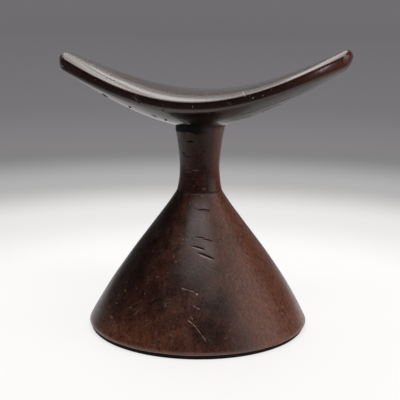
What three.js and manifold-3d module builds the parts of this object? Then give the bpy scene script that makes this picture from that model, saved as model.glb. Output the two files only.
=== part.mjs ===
// A carved wooden headrest: a boat-bottomed crescent that cradles the head, a
// waisted neck, a bell-sided cone and a low inset foot ring, seated one on
// another with round stub tenons and a tongued rebate.
//
// Millimetres, +Z up. The origin is on the ground under the middle of the
// crescent, which runs along X. The neck stands a little to one side of it, as
// it does on a piece cut by hand and eye.

import * as THREE from 'three';
import { mergeVertices } from 'three/addons/utils/BufferGeometryUtils.js';
import Module from 'manifold-3d';

// ---- Driving dimensions ----------------------------------------------------

// Foot ring
const footHeight = 2.1; // standing height of the ring under the cone's edge
const footInset = 1.2; // the ring is set in from the cone's edge by this much
const footWidth = 11.2;
const footTongueThickness = 4;
const footTongueRise = 4.9; // tongue above the ring's seat

// Cone
const coneHeight = 81.4; // over the ground, to the neck's seat
const coneFootRadius = 64.4;
const coneFootLean = THREE.MathUtils.degToRad(26.2); // flank from upright, at the foot
const coneFootPull = 40.7; // length of the flank curve's lower handle
const coneTopLean = THREE.MathUtils.degToRad(27.4);
const coneTopPull = 15.9;
const coneEdgeRound = 0.8;
const coneSet = -0.7; // sideways set of the foot's centre from the neck's axis
const coneSetHeight = 46; // the flank is centred on the neck above this
const hollowDepth = 2.4; // shallow dish under the cone, inside the ring
const hollowLift = 1; // the dish's rim over the ground

// Neck
const neckLength = 37.8; // to where the flare meets the crescent's side
const neckWaistLength = 14.1; // to the waist, from the same seat
const neckBottomRadius = 13;
const neckWaistRadius = 11.55;
const neckTopRadius = 14.6;
const neckLowerSweep = 2.1; // exponents of the waist's two curves
const neckUpperSweep = 1.6;

// Crescent
const restHalfLength = 85.2;
const restHalfDepth = 27.5; // at the middle, front to back
const restTipHalfDepth = 7.3; // where the sides' curve would meet the end of a tip
const restTopRise = 24.7; // how far the top face climbs to each tip
const restTopFlattening = 5.8; // how much that climb eases off near the tips
const restCrown = 2.9; // the top face falls this much from its crown to its edge
const restEdgeBand = 4; // upright band along the long edges, at the middle
const restTipEdgeBand = 5.8;
const restEdgeRound = 1.3;
const restBelly = 14.1; // keel below the band, at the middle
const restTipBelly = 2.7;
const restBellyEase = 0.12; // share of the half length over which the keel turns
const restBellyFullness = 2.45; // 1 is a straight-sided keel, 3 is a flat belly
const restSeatDepth = 1.4; // the keel dips this much below the neck's flared rim
const restTilt = 2.9; // one tip sits this much above level, the other below
const restSet = 1.1; // sideways set of the crescent's middle from the neck's axis
const restTipRoundStart = 0.94; // share of the half length where a tip rounds off
const restTipPlanRound = 2; // exponents of the tip's rounding, 2 is an ellipse
const restTipSideRound = 1.8;

// Stub tenons
const upperTenonRadius = 7.5;
const upperTenonLength = 8;
const lowerTenonRadius = 8.5;
const lowerTenonLength = 18;

// Fits
const seatGap = 0.3; // between faces that bear on each other
const tenonEndGap = 0.6; // past the end of a tenon in its blind socket

// Heights that follow from them
const neckWaistHeight = coneHeight + neckWaistLength;
const neckTopHeight = coneHeight + neckLength;
const restKeelHeight = neckTopHeight - restSeatDepth;
const restCrownHeight = restKeelHeight + restBelly + restEdgeBand + restCrown;

// Fineness of the faceted surfaces
const restStations = 46;
const restAround = 44;
const roundSegments = 64;
const flankSteps = 11;
const sweepSteps = 7;
const edgeSteps = 3;

// Where the crown, the edge's rounding and the band end along a half section,
// as shares of the way from the crown to the keel
const crownShare = 8 / 22;
const roundShare = 11 / 22;
const bandShare = 12 / 22;

// ---- Solids ----------------------------------------------------------------

const wasm = await Module();
wasm.setup();

function solidOf(geometry) {
  const bare = geometry.clone();
  bare.deleteAttribute('normal');
  bare.deleteAttribute('uv');
  const merged = mergeVertices(bare);
  const index = merged.index.array;
  const triVerts = [];
  for (let i = 0; i < index.length; i += 3) {
    const [a, b, c] = index.slice(i, i + 3);
    if (a !== b && b !== c && c !== a) triVerts.push(a, b, c);
  }
  return new wasm.Manifold(new wasm.Mesh({
    numProp: 3,
    vertProperties: Float32Array.from(merged.attributes.position.array),
    triVerts: Uint32Array.from(triVerts),
  }));
}

function geometryOf(solid) {
  const mesh = solid.getMesh();
  const geometry = new THREE.BufferGeometry();
  geometry.setAttribute('position', new THREE.BufferAttribute(mesh.vertProperties, 3));
  geometry.setIndex(new THREE.BufferAttribute(mesh.triVerts, 1));
  return geometry;
}

// A turned solid from [radius, height] pairs, with its axis upright.
function turned(profile) {
  const points = profile.map(([radius, height]) => new THREE.Vector2(radius, height));
  const lathe = new THREE.LatheGeometry(points, roundSegments);
  lathe.rotateX(Math.PI / 2);
  return lathe;
}

// An upright peg between two heights.
function peg(radius, bottom, top) {
  return solidOf(turned([[0, bottom], [radius, bottom], [radius, top], [0, top]]));
}

// Evenly spaced numbers from 0 to 1, both ends included.
function fractions(steps) {
  return Array.from({ length: steps + 1 }, (_, i) => i / steps);
}

// ---- Crescent --------------------------------------------------------------

// Heights of the crown of the top face, of the band's two edges and of the keel
// at station s, which is 0 at the middle and -1 and 1 at the tips.
function restHeights(s) {
  const climb = (restTopRise + restTopFlattening) * s ** 2 - restTopFlattening * s ** 4;
  const crown = restCrownHeight + climb;
  const bandTop = crown - restCrown;
  const bandBottom = bandTop - (restEdgeBand + (restTipEdgeBand - restEdgeBand) * s ** 2);
  const bow = Math.hypot(s, restBellyEase) - restBellyEase;
  const fullBow = Math.hypot(1, restBellyEase) - restBellyEase;
  const belly = restBelly + (restTipBelly - restBelly) * (bow / fullBow);
  return { crown, bandTop, bandBottom, keel: bandBottom - belly };
}

// One side of the crescent's cross-section at station s, from the crown
// (q = 0) over the rounded edge and down the band to the keel (q = 1), as a
// distance from the middle plane and a height.
function sectionPoint(s, q) {
  const { crown, bandTop, bandBottom, keel } = restHeights(s);
  const halfDepth = restHalfDepth + (restTipHalfDepth - restHalfDepth) * s ** 2;
  const flat = halfDepth - restEdgeRound;
  const shoulder = crown - restCrown * (flat / halfDepth) ** 2;
  const roundBottom = bandTop - restEdgeRound;
  if (q <= crownShare) {
    const y = (q / crownShare) * flat;
    return [y, crown - restCrown * (y / halfDepth) ** 2];
  }
  if (q <= roundShare) {
    const turn = ((q - crownShare) / (roundShare - crownShare)) * (Math.PI / 2);
    return [
      flat + restEdgeRound * Math.sin(turn),
      shoulder - (shoulder - roundBottom) * (1 - Math.cos(turn)),
    ];
  }
  if (q <= bandShare) {
    const t = (q - roundShare) / (bandShare - roundShare);
    return [halfDepth, THREE.MathUtils.lerp(roundBottom, bandBottom, t)];
  }
  const share = 1 - (q - bandShare) / (1 - bandShare);
  return [halfDepth * share, keel + (bandBottom - keel) * share ** restBellyFullness];
}

// How much of its full section a station keeps where the tips round off.
function tipShare(s, power) {
  const past = (Math.abs(s) - restTipRoundStart) / (1 - restTipRoundStart);
  const spent = THREE.MathUtils.clamp(past, 0, 1);
  return (1 - spent ** power) ** (1 / power);
}

// The crescent is a ball whose poles are its tips, reshaped section by section.
function crescent() {
  const ball = new THREE.SphereGeometry(1, restAround, restStations);
  const { position, uv } = ball.attributes;
  for (let i = 0; i < position.count; i += 1) {
    const s = -Math.cos(Math.PI * (1 - uv.getY(i)));
    const around = uv.getX(i) * 2;
    const side = around <= 1 ? 1 : -1;
    const [y, z] = sectionPoint(s, around <= 1 ? around : 2 - around);
    const { crown, keel } = restHeights(s);
    const middle = (crown + keel) / 2;
    position.setXYZ(
      i,
      s * restHalfLength + restSet,
      side * y * tipShare(s, restTipPlanRound),
      middle + (z - middle) * tipShare(s, restTipSideRound) + restTilt * s,
    );
  }
  return solidOf(ball);
}

// ---- Neck ------------------------------------------------------------------

// The neck's outline, with a plain column above its flare, up to a height
// inside the crescent.
function neckProfile(top) {
  const seat = coneHeight + seatGap;
  const lower = fractions(sweepSteps).map((t) => [
    neckWaistRadius + (neckBottomRadius - neckWaistRadius) * (1 - t) ** neckLowerSweep,
    THREE.MathUtils.lerp(seat, neckWaistHeight, t),
  ]);
  const upper = fractions(sweepSteps).slice(1).map((t) => [
    neckWaistRadius + (neckTopRadius - neckWaistRadius) * t ** neckUpperSweep,
    THREE.MathUtils.lerp(neckWaistHeight, neckTopHeight, t),
  ]);
  return [[0, seat], ...lower, ...upper, [neckTopRadius, top], [0, top]];
}

// ---- Cone and foot ring ----------------------------------------------------

const footRadius = coneFootRadius - footInset;
const footInnerRadius = footRadius - footWidth;
const footTongueRadius = footInnerRadius + footTongueThickness;
const footTongueTop = footHeight + footTongueRise;

function coneProfile() {
  const edgeBottom = footHeight + seatGap;
  const foot = new THREE.Vector2(coneFootRadius, edgeBottom + coneEdgeRound);
  const shoulder = new THREE.Vector2(neckBottomRadius, coneHeight);
  const flank = new THREE.CubicBezierCurve(
    foot,
    new THREE.Vector2(
      foot.x - coneFootPull * Math.sin(coneFootLean),
      foot.y + coneFootPull * Math.cos(coneFootLean),
    ),
    new THREE.Vector2(
      shoulder.x + coneTopPull * Math.sin(coneTopLean),
      shoulder.y - coneTopPull * Math.cos(coneTopLean),
    ),
    shoulder,
  );
  const lowerEdge = fractions(edgeSteps).slice(0, -1).map((t) => {
    const turn = t * (Math.PI / 2);
    return [
      foot.x - coneEdgeRound * (1 - Math.sin(turn)),
      foot.y - coneEdgeRound * Math.cos(turn),
    ];
  });
  const side = flank.getPoints(flankSteps).map((point) => [point.x, point.y]);
  const spigotRadius = footInnerRadius - seatGap;
  const grooveRadius = footTongueRadius + seatGap;
  const grooveTop = footTongueTop + seatGap;
  const dish = fractions(edgeSteps).map((t) => [
    (spigotRadius - hollowLift) * t,
    hollowLift + hollowDepth * (1 - t ** 2),
  ]);
  return [
    ...dish,
    [spigotRadius, hollowLift],
    [spigotRadius, grooveTop],
    [grooveRadius, grooveTop],
    [grooveRadius, edgeBottom],
    ...lowerEdge,
    ...side,
    [0, coneHeight],
  ];
}

function footRingProfile() {
  return [
    [footInnerRadius, 0],
    [footRadius, 0],
    [footRadius, footHeight],
    [footTongueRadius, footHeight],
    [footTongueRadius, footTongueTop],
    [footInnerRadius, footTongueTop],
    [footInnerRadius, 0],
  ];
}

// A solid whose sections are set sideways: by coneSet at the ground, easing to
// nothing at coneSetHeight.
function setSideways(geometry) {
  const { position } = geometry.attributes;
  for (let i = 0; i < position.count; i += 1) {
    const share = Math.max(0, 1 - position.getZ(i) / coneSetHeight);
    position.setX(i, position.getX(i) + coneSet * share ** 2);
  }
  return solidOf(geometry);
}

// ---- Assembly --------------------------------------------------------------

const restBlank = crescent();
const upperTenonTop = restKeelHeight + upperTenonLength;
const lowerTenonBottom = coneHeight - lowerTenonLength;

const rest = restBlank.subtract(
  peg(upperTenonRadius + seatGap, neckWaistHeight, upperTenonTop + tenonEndGap),
);

const neckBlank = solidOf(turned(neckProfile(restHeights(0).bandBottom)));
const neck = neckBlank
  .subtract(restBlank.translate([0, 0, -seatGap]))
  .add(peg(upperTenonRadius, neckWaistHeight, upperTenonTop))
  .add(peg(lowerTenonRadius, lowerTenonBottom, neckWaistHeight));

const coneBase = setSideways(turned(coneProfile())).subtract(
  peg(lowerTenonRadius + seatGap, lowerTenonBottom - tenonEndGap, neckWaistHeight),
);

const footRim = setSideways(turned(footRingProfile()));

const headrest = new THREE.Group();
headrest.position.x = -restSet;
const pieces = [
  ['rest', rest, { color: 0x2a1a16, roughness: 0.28, metalness: 0 }],
  ['neck', neck, { color: 0x341d17, roughness: 0.34, metalness: 0 }],
  ['cone_base', coneBase, { color: 0x3b241c, roughness: 0.36, metalness: 0 }],
  ['foot_rim', footRim, { color: 0x2c1a14, roughness: 0.5, metalness: 0 }],
];
for (const [name, solid, finish] of pieces) {
  const mesh = new THREE.Mesh(geometryOf(solid), new THREE.MeshStandardMaterial(finish));
  mesh.name = name;
  headrest.add(mesh);
}

export default headrest;
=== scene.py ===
"""A carved wooden headrest: a boat-bottomed crescent on a waisted neck, a bell-sided cone and a low foot.

The whole is one block of dark, hand-polished wood, so the four pieces share one family of finishes.
Metres, +Z up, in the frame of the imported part: the crescent runs along X, and Y points to the back.
"""

import logging
import math
from dataclasses import dataclass
from enum import Enum
from itertools import pairwise

import bmesh
import bpy
import numpy as np
from mathutils import Matrix, Vector
from mathutils.geometry import interpolate_bezier


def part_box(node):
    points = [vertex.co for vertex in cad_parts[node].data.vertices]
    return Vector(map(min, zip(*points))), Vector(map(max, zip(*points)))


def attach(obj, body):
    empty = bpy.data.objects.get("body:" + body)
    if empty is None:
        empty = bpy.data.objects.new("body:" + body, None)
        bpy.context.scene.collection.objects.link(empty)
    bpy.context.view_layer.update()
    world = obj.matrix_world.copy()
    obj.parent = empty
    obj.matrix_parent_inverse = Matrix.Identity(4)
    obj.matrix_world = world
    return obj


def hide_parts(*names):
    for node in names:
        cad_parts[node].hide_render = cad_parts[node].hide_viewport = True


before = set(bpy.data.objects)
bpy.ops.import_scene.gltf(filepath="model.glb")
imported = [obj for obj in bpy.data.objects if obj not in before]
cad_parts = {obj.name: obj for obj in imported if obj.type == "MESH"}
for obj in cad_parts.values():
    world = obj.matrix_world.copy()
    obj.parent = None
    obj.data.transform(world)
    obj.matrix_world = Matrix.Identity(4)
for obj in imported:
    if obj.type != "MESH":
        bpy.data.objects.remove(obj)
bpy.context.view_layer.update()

MM = 0.001
BODY = "root"
MERGE_DISTANCE = 0.004 * MM
TIP_MERGE_DISTANCE = 0.001 * MM
SMOOTH_ANGLE = math.radians(38)

Place = tuple[float, float, float]
Colour = tuple[float, float, float]
Profile = list[tuple[float, float]]

log = logging.getLogger("headrest")


# ---- Places taken from the frame ---------------------------------------------------------------------


@dataclass(frozen=True)
class Span:
    """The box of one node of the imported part."""

    low: Vector
    high: Vector

    @classmethod
    def of(cls, node: str) -> "Span":
        """Measure one node.

        Args:
            node: The node's name.

        Returns:
            Its span.
        """
        return cls(*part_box(node))

    @property
    def middle(self) -> Vector:
        """The box's centre."""
        return (self.low + self.high) / 2

    @property
    def half(self) -> Vector:
        """Half of the box's size along each axis."""
        return (self.high - self.low) / 2


REST = Span.of("rest")
NECK = Span.of("neck")
CONE = Span.of("cone_base")
FOOT = Span.of("foot_rim")

TENON_LENGTH = 8 * MM
KEEL_HEIGHT = NECK.high.z - TENON_LENGTH


# ---- Hand work on a mesh -----------------------------------------------------------------------------


def pick_only(piece: bpy.types.Object) -> None:
    """Make one object the only selected and active one, in object mode.

    Args:
        piece: The object that the next operator acts on.
    """
    if bpy.context.object and bpy.context.object.mode != "OBJECT":
        bpy.ops.object.mode_set(mode="OBJECT")
    bpy.ops.object.select_all(action="DESELECT")
    piece.select_set(True)
    bpy.context.view_layer.objects.active = piece


def trace_outline(name: str, points: list[Vector]) -> bpy.types.Object:
    """Draw an open outline by extruding one vertex from point to point. Leaves edit mode open.

    Args:
        name: The new piece's name.
        points: The outline's points in order.

    Returns:
        The new piece, with its last vertex selected.
    """
    bpy.ops.object.select_all(action="DESELECT")
    bpy.ops.mesh.primitive_plane_add(size=MM)
    piece = bpy.context.object
    piece.name = piece.data.name = name
    bpy.ops.object.mode_set(mode="EDIT")
    bpy.ops.mesh.select_mode(type="VERT")
    bpy.ops.mesh.merge(type="CENTER")
    bpy.ops.transform.translate(value=points[0])
    for here, there in pairwise(points):
        bpy.ops.mesh.extrude_region_move(TRANSFORM_OT_translate={"value": there - here})
    return piece


def turn(name: str, profile: Profile, axis_x: float, steps: int) -> bpy.types.Object:
    """Turn a profile about an upright axis, as on a lathe, into one closed solid.

    Args:
        name: The new piece's name.
        profile: Pairs of radius and height, from one point to the next.
        axis_x: Where the axis stands along X.
        steps: How many steps the spin takes for one full turn.

    Returns:
        The turned piece, in object mode.
    """
    points = [Vector((axis_x + radius, 0, height)) for radius, height in profile]
    piece = trace_outline(name, points)
    bpy.ops.mesh.select_all(action="SELECT")
    bpy.ops.mesh.spin(steps=steps, angle=math.tau, center=(axis_x, 0, 0), axis=(0, 0, 1))
    bpy.ops.mesh.select_all(action="SELECT")
    bpy.ops.mesh.remove_doubles(threshold=MERGE_DISTANCE)
    bpy.ops.mesh.normals_make_consistent(inside=False)
    bpy.ops.object.mode_set(mode="OBJECT")
    return piece


def apply_modifier(piece: bpy.types.Object, kind: str, **settings: object) -> None:
    """Add a modifier to a piece, set it and apply it.

    Args:
        piece: The piece that is changed.
        kind: Blender's name for the type of modifier.
        **settings: The modifier's own settings.
    """
    pick_only(piece)
    modifier = piece.modifiers.new(kind.title(), kind)
    for name, value in settings.items():
        setattr(modifier, name, value)
    bpy.ops.object.modifier_apply(modifier=modifier.name)


def ripple(piece: bpy.types.Object, depth: float, size: float, stretch: Vector) -> None:
    """Give a surface the slight unevenness of a hand-held blade.

    Args:
        piece: The piece that is changed.
        depth: From the lowest hollow to the highest rise.
        size: The distance over which the surface rises and falls.
        stretch: How much longer the ripples are along each axis.
    """
    texture = bpy.data.textures.new("blade_ripple", "CLOUDS")
    texture.noise_scale = 1.0
    texture.noise_depth = 1
    guide = bpy.data.objects.new("ripple_guide", None)
    bpy.context.scene.collection.objects.link(guide)
    guide.scale = stretch * size
    bpy.context.view_layer.update()
    apply_modifier(
        piece,
        "DISPLACE",
        texture=texture,
        texture_coords="OBJECT",
        texture_coords_object=guide,
        strength=depth,
        mid_level=0.5,
    )
    bpy.data.objects.remove(guide)
    bpy.data.textures.remove(texture)


def vertex_places(piece: bpy.types.Object) -> np.ndarray:
    """Read the places of a piece's vertices.

    Args:
        piece: The piece that is read.

    Returns:
        One row for each vertex.
    """
    places = np.empty(len(piece.data.vertices) * 3)
    piece.data.vertices.foreach_get("co", places)
    return places.reshape(-1, 3)


def vertex_normals(piece: bpy.types.Object) -> np.ndarray:
    """Read the normals of a piece's vertices.

    Args:
        piece: The piece that is read.

    Returns:
        One row for each vertex.
    """
    normals = np.empty(len(piece.data.vertices) * 3)
    piece.data.vertices.foreach_get("normal", normals)
    return normals.reshape(-1, 3)


def move_vertices(piece: bpy.types.Object, places: np.ndarray) -> None:
    """Put a piece's vertices at new places.

    Args:
        piece: The piece that is changed.
        places: One row for each vertex.
    """
    piece.data.vertices.foreach_set("co", places.ravel())
    piece.data.update()


def paint(piece: bpy.types.Object, layer: "Layer", values: np.ndarray) -> None:
    """Store one value for each vertex, for the finish to read.

    Where the layer is there already, the higher value stays.

    Args:
        piece: The piece that is painted.
        layer: The layer that is painted.
        values: From 0 to 1, one for each vertex.
    """
    attribute = piece.data.attributes.get(layer)
    if attribute is None:
        attribute = piece.data.attributes.new(layer, "FLOAT", "POINT")
    kept = np.empty(len(values), np.float32)
    attribute.data.foreach_get("value", kept)
    attribute.data.foreach_set("value", np.maximum(kept, values).astype(np.float32))


def split_faces(piece: bpy.types.Object, chosen: np.ndarray) -> None:
    """Subdivide some of a piece's faces once.

    Args:
        piece: The piece that is changed.
        chosen: Whether each face is split.
    """
    pick_only(piece)
    bpy.ops.object.mode_set(mode="EDIT")
    bpy.ops.mesh.select_mode(type="FACE")
    bpy.ops.mesh.select_all(action="DESELECT")
    bpy.ops.object.mode_set(mode="OBJECT")
    piece.data.polygons.foreach_set("select", chosen)
    bpy.ops.object.mode_set(mode="EDIT")
    bpy.ops.mesh.subdivide(number_cuts=1)
    bpy.ops.object.mode_set(mode="OBJECT")


def smooth_step(low: float, high: float, values: np.ndarray) -> np.ndarray:
    """Ease from 0 to 1.

    Args:
        low: Where the result is 0.
        high: Where it is 1, which may be below low.
        values: The values that are eased.

    Returns:
        One number from 0 to 1 for each value.
    """
    share = np.clip((values - low) / (high - low), 0, 1)
    return share * share * (3 - 2 * share)


# ---- Marks of use ------------------------------------------------------------------------------------

WALL_FOOT = -0.45  # where a slice's steep wall meets its ramp, from -1 to 1 across the mark
REFINING_ROUNDS = 5

class Layer(str, Enum):
    """What a finish reads from the surface besides its own pattern."""

    # grime in cuts and joints, and painted shade under the crescent's wings, under the cone's lower edge
    # and on the foot ring
    GRIME_AND_SHADE = "grime"
    # sooty patches, and painted shade on the crescent's keel and edge bands and on the cone's left flank
    SOOT_AND_SHADE = "soot_and_shade"
    BARE = "bare"
    # painted light: warmer, lighter colour where the lamps fall, partly a lighter patina on the cone's
    # right flank, and a painted highlight on the crescent
    PAINTED_LIGHT = "warm"


def smudge(piece: bpy.types.Object, place: Place, radius: float, strength: float) -> None:
    """Darken a soft round patch, as smoke and handling do.

    Args:
        piece: The piece that is darkened.
        place: The patch's centre in millimetres.
        radius: Its radius in millimetres.
        strength: How dark the centre is, from 0 to 1.
    """
    reach = np.linalg.norm(vertex_places(piece) - np.array(place) * MM, axis=1)
    paint(piece, Layer.SOOT_AND_SHADE, smooth_step(radius * MM, radius * 0.25 * MM, reach) * strength)


class Shape(Enum):
    """The cross-section of a mark."""

    SLICE = "slice"  # a steep wall above and a long ramp below, as a blade leaves it
    GROOVE = "groove"
    PIT = "pit"


@dataclass(frozen=True)
class Mark:
    """A cut, scratch or pit, between two points close to the surface.

    Its points, width and depth are in millimetres, and a pit's two points may be the same. Grime and
    bare say how strongly it is painted with each, and lip how high its lower edge is raised, as a
    share of its depth.
    """

    start: Place
    end: Place
    width: float
    depth: float
    shape: Shape = Shape.GROOVE
    grime: float = 0.0
    bare: float = 0.0
    lip: float = 0.0

    @property
    def ends(self) -> tuple[np.ndarray, np.ndarray]:
        """Both points, in metres."""
        return np.array(self.start) * MM, np.array(self.end) * MM

    def distances(self, places: np.ndarray) -> np.ndarray:
        """Measure how far places are from the line between the points.

        Args:
            places: One row for each place.

        Returns:
            One distance for each place.
        """
        start, end = self.ends
        run = end - start
        share = np.clip((places - start) @ run / max(run @ run, 1e-12), 0, 1)
        return np.linalg.norm(places - start - share[:, None] * run, axis=1)

    def too_coarse(self, centres: np.ndarray, edges: np.ndarray, fineness: float) -> np.ndarray:
        """Find the faces about the mark with edges too long to hold it.

        Args:
            centres: One row for each face.
            edges: Each face's typical edge.
            fineness: The longest edge allowed, as a share of the mark's width.

        Returns:
            Whether each face is too coarse.
        """
        near = self.distances(centres) < self.width * MM * 0.8 + edges
        return near & (edges > self.width * MM * fineness)

    def hollow(self, run: np.ndarray, across: np.ndarray) -> np.ndarray:
        """Shape the mark's hollow.

        Args:
            run: How far along the mark each vertex is, from -1 at one end to 1 at the other.
            across: How far down across it, from -1 at the upper edge to 1 at the lower.

        Returns:
            How deep the mark is at each vertex, from 0 to 1.
        """
        if self.shape is Shape.PIT:
            return np.clip(1 - run**2 - across**2, 0, 1) ** 0.7
        taper = np.sqrt(np.clip(1 - run**2, 0, 1))
        spread = across / np.maximum(taper, 0.05)
        if self.shape is Shape.GROOVE:
            return np.clip(1 - np.abs(spread), 0, 1) * np.minimum(taper * 2, 1)
        wall = smooth_step(-1, WALL_FOOT, spread)
        ramp = 1 - np.clip((spread - WALL_FOOT) / (1 - WALL_FOOT), 0, 1)
        return np.where(spread < WALL_FOOT, wall, ramp) * (taper > 0) * np.minimum(taper * 1.6, 1)

    def cut(self, piece: bpy.types.Object) -> None:
        """Press the mark into the surface and paint what it lays bare or gathers.

        Args:
            piece: The piece that is marked, with faces fine enough to hold the mark.
        """
        places, normals = vertex_places(piece), vertex_normals(piece)
        start, end = (places[np.argmin(np.linalg.norm(places - p, axis=1))] for p in self.ends)
        middle = (start + end) / 2
        offset = places - middle
        distance = np.linalg.norm(offset, axis=1)
        near = distance < np.linalg.norm(end - start) / 2 + 2 * self.width * MM
        outward = normals[np.argmin(distance)]
        length = max(float(np.linalg.norm(end - start)), 1e-9)
        along = (end - start) / length if length > 1e-6 else np.cross(outward, (0, 0, 1))
        along = along / np.linalg.norm(along)
        below = np.cross(along, outward)
        below = below if below[2] < 0 else -below
        run = offset @ along / max(length / 2, self.width * MM / 2)
        across = offset @ below / (self.width * MM / 2)
        facing = (normals @ outward) > 0.3
        hollow = self.hollow(run, across)
        rise = np.exp(-(((across - 1.25) / 0.35) ** 2)) * np.clip(1 - run**2, 0, 1) * self.lip
        active = near & facing
        shift = np.where(active, rise - hollow, 0) * self.depth * MM
        move_vertices(piece, places + shift[:, None] * outward)
        hollow = np.where(active, hollow, 0)
        wall_side = np.where(across < -0.1, 1, 0) if self.shape is Shape.SLICE else 1
        ramp_side = np.where(across > -0.1, 1, 0) if self.shape is Shape.SLICE else 1
        paint(piece, Layer.GRIME_AND_SHADE, np.clip(hollow * 2, 0, 1) * self.grime * wall_side)
        paint(piece, Layer.BARE, np.clip(hollow * 3, 0, 1) * self.bare * ramp_side)


def carve(piece: bpy.types.Object, marks: list[Mark], fineness: float = 0.16) -> None:
    """Cut every mark into a piece.

    Args:
        piece: The piece that is marked.
        marks: The marks, each near its surface.
        fineness: The longest edge inside a mark, as a share of the mark's width.
    """
    for layer in Layer:
        paint(piece, layer, np.zeros(len(piece.data.vertices)))
    for _ in range(REFINING_ROUNDS):
        polygons = piece.data.polygons
        centres, areas = np.empty(len(polygons) * 3), np.empty(len(polygons))
        polygons.foreach_get("center", centres)
        polygons.foreach_get("area", areas)
        centres, edges = centres.reshape(-1, 3), np.sqrt(areas)
        coarse = np.zeros(len(polygons), bool)
        for mark in marks:
            coarse |= mark.too_coarse(centres, edges, fineness)
        if not coarse.any():
            break
        split_faces(piece, coarse)
    for mark in marks:
        mark.cut(piece)


def hairline(points: list[Place], width: float, depth: float, bare: float) -> list[Mark]:
    """Run a thin scratch through several points.

    Args:
        points: The scratch's points, in millimetres.
        width: Its width.
        depth: Its depth.
        bare: How much pale wood it lays bare.

    Returns:
        A chain of short grooves.
    """
    return [Mark(a, b, width, depth, bare=bare) for a, b in pairwise(points)]


# ---- Finishes ----------------------------------------------------------------------------------------


@dataclass
class Wiring:
    """A node tree, and the short ways to put nodes into it."""

    tree: bpy.types.NodeTree

    def node(self, kind: str, sockets: dict | None = None, **settings: object) -> bpy.types.Node:
        """Add a node.

        Args:
            kind: The node's type.
            sockets: Values or outputs for the inputs, by the input's name or number.
            **settings: The node's own settings.

        Returns:
            The new node.
        """
        made = self.tree.nodes.new(kind)
        for name, value in settings.items():
            setattr(made, name, value)
        for name, value in (sockets or {}).items():
            if isinstance(value, bpy.types.NodeSocket):
                self.tree.links.new(value, made.inputs[name])
            else:
                made.inputs[name].default_value = value
        return made

    def math(self, operation: str, *values: object, clamp: bool = False) -> bpy.types.NodeSocket:
        """Add a Math node.

        Args:
            operation: What it does.
            *values: Its inputs, each a number or an output.
            clamp: Whether the result is kept between 0 and 1.

        Returns:
            Its result.
        """
        made = self.node("ShaderNodeMath", dict(enumerate(values)), operation=operation, use_clamp=clamp)
        return made.outputs[0]

    def band(
        self, value: object, low: float, high: float, to_low: float = 0, to_high: float = 1
    ) -> bpy.types.NodeSocket:
        """Ease a value from one range to another.

        Args:
            value: The output that is eased.
            low: Where the result is to_low.
            high: Where the result is to_high.
            to_low: The result at low.
            to_high: The result at high.

        Returns:
            The eased value.
        """
        sockets = {"Value": value, "From Min": low, "From Max": high, "To Min": to_low, "To Max": to_high}
        return self.node("ShaderNodeMapRange", sockets, interpolation_type="SMOOTHSTEP").outputs[0]

    def blend(self, share: object, first: object, second: object) -> bpy.types.NodeSocket:
        """Mix two colours.

        Args:
            share: How much of the second there is.
            first: One colour, or an output.
            second: The other.

        Returns:
            The mixed colour.
        """
        made = self.node("ShaderNodeMix", {0: share, 6: first, 7: second}, data_type="RGBA")
        return made.outputs[2]

    def noise(
        self, vector: object, scale: object, detail: float, roughness: float = 0.5
    ) -> bpy.types.NodeSocket:
        """Add a noise texture.

        Args:
            vector: Where it is read.
            scale: How fine it is.
            detail: How many finer layers it has.
            roughness: How strong each finer layer is.

        Returns:
            Its value.
        """
        sockets = {"Vector": vector, "Scale": scale, "Detail": detail, "Roughness": roughness}
        return self.node("ShaderNodeTexNoise", sockets).outputs[0]


def new_group(
    name: str, inputs: dict[str, tuple[str, object]], outputs: list[str]
) -> tuple[Wiring, dict[str, bpy.types.NodeSocket], bpy.types.Node]:
    """Start a shader node group.

    Args:
        name: The group's name.
        inputs: For each input, its socket type and value.
        outputs: The names of its outputs, each a value.

    Returns:
        The group's wiring, the outputs of its input node by name, and its output node.
    """
    tree = bpy.data.node_groups.new(name, "ShaderNodeTree")
    for label, (kind, value) in inputs.items():
        made = tree.interface.new_socket(label, in_out="INPUT", socket_type=kind)
        if value is not None:
            made.default_value = value
    for label in outputs:
        tree.interface.new_socket(label, in_out="OUTPUT", socket_type="NodeSocketFloat")
    wiring = Wiring(tree)
    source = wiring.node("NodeGroupInput")
    return wiring, {s.name: s for s in source.outputs if s.name}, wiring.node("NodeGroupOutput")


VECTOR = "NodeSocketVector"
FLOAT = "NodeSocketFloat"


def mottle_group() -> bpy.types.NodeTree:
    """Make blotches of old wax and sweat: broad clouds broken up by finer ones, and dust.

    Returns:
        The node group.
    """
    wiring, given, result = new_group(
        "wax_mottle",
        {
            "Vector": (VECTOR, None),
            "Broad": (FLOAT, 30.0),
            "Fine": (FLOAT, 160.0),
            "Contrast": (FLOAT, 1.0),
        },
        ["Mottle", "Speckle"],
    )
    broad = wiring.noise(given["Vector"], given["Broad"], 3, 0.6)
    fine = wiring.noise(given["Vector"], given["Fine"], 4, 0.65)
    mixed = wiring.math("ADD", wiring.math("MULTIPLY", broad, 0.62), wiring.math("MULTIPLY", fine, 0.38))
    centred = wiring.math("MULTIPLY", wiring.math("SUBTRACT", mixed, 0.5), given["Contrast"])
    mottle = wiring.math("ADD", wiring.math("MULTIPLY", centred, 3.2), 0.5, clamp=True)
    wiring.tree.links.new(mottle, result.inputs["Mottle"])
    dust = wiring.noise(given["Vector"], wiring.math("MULTIPLY", given["Fine"], 5.0), 3, 0.7)
    speckle = wiring.math("ADD", wiring.math("MULTIPLY", fine, 0.5), wiring.math("MULTIPLY", dust, 0.5))
    wiring.tree.links.new(wiring.band(speckle, 0.36, 0.68), result.inputs["Speckle"])
    return wiring.tree


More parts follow.
